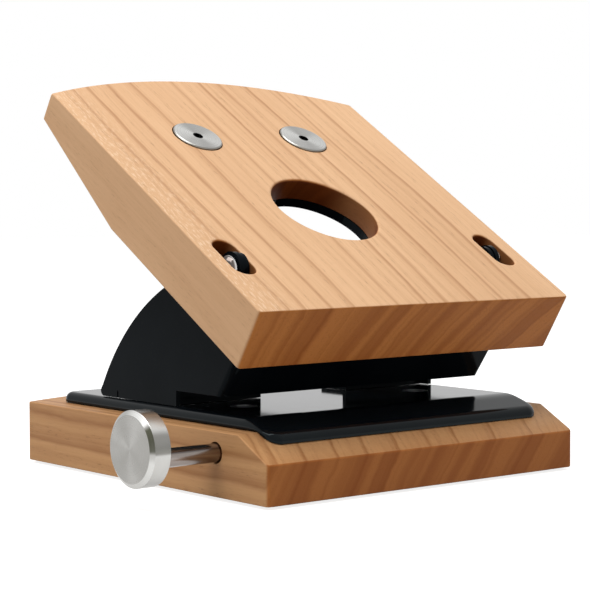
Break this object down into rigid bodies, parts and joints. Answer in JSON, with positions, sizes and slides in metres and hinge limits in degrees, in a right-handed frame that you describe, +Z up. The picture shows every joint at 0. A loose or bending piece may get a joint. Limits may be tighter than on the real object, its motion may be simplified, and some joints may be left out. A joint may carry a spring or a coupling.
{
  "type": "hole punch",
  "caption": "Wooden desk hole punch: wooden base and hollowed lid on a lacquered steel plate and housing, sprung punch pins, and a sliding side stop with a turned knob.",
  "frame": {"origin": "on the surface that the punch stands on, midway between the two straight sides and midway along them", "axes": "+Z up; -Y is the front edge with the bevelled nose, where the lid is lowest at rest; +X is the right side seen from the front, and the side stop leaves to -X"},
  "size_m": [0.174, 0.154, 0.1417],
  "materials": {
    "wood": "oiled light hardwood with straight grain",
    "black_lacquer": "high-gloss black lacquer on sheet steel",
    "turned_aluminium": "faced on a lathe, with fine radial sheen",
    "bright_steel": "bright zinc-plated or polished steel",
    "tool_steel": "ground and hardened",
    "spring_steel": "drawn spring wire",
    "rubber": "matt black rubber",
    "dark_plastic": "matt dark plastic",
    "nylon": "natural white nylon"
  },
  "bodies": {
    "base": {"wood_base": "wood", "base_mat_front": "rubber", "base_mat_rear": "rubber", "chip_cover": "dark_plastic", "base_plate": "black_lacquer", "punch_housing": "black_lacquer", "guide_bracket_left": "black_lacquer", "guide_bracket_right": "black_lacquer", "die_left": "tool_steel", "die_right": "tool_steel", "frame_screw_front_left": "bright_steel", "frame_screw_front_right": "bright_steel", "frame_screw_rear_left": "bright_steel", "frame_screw_rear_right": "bright_steel", "rod_brake_plug": "nylon", "rod_brake_screw": "bright_steel", "pin_spring_left": "spring_steel", "pin_spring_right": "spring_steel"},
    "lever": {"lid": "wood", "lever_plate": "black_lacquer", "lid_screw_left": "turned_aluminium", "lid_screw_right": "turned_aluminium", "lid_nut_left": "bright_steel", "lid_nut_right": "bright_steel", "pivot_pin_left": "bright_steel", "pivot_pin_right": "bright_steel", "axle_cap_left": "bright_steel", "axle_cap_right": "bright_steel"},
    "pin_left": {"punch_pin_left": "tool_steel"},
    "pin_right": {"punch_pin_right": "tool_steel"},
    "side_stop": {"stop_rod": "bright_steel", "stop_knob": "turned_aluminium"}
  },
  "joints": [
    {"name": "lever_press", "type": "hinge", "parent": "base", "child": "lever", "pos_m": [0, -0.0379, 0.0744], "axis": [-1, 0, 0], "range_deg": [0, 31.4], "stiffness_Nm_per_rad": 0.3, "springref_deg": -57.3},
    {"name": "pin_left_travel", "type": "slide", "parent": "base", "child": "pin_left", "axis": [0, 0, -1], "range_m": [0, 0.01096], "deforming": ["pin_spring_left"]},
    {"name": "pin_right_travel", "type": "slide", "parent": "base", "child": "pin_right", "axis": [0, 0, -1], "range_m": [0, 0.01096], "deforming": ["pin_spring_right"]},
    {"name": "side_stop_slide", "type": "slide", "parent": "base", "child": "side_stop", "axis": [-1, 0, 0], "range_m": [-0.0259, 0.05]}
  ],
  "couplings": [
    {"joint": "pin_left_travel", "follows": "lever_press", "m_per_rad": 0.019975},
    {"joint": "pin_right_travel", "follows": "lever_press", "m_per_rad": 0.019975}
  ]
}
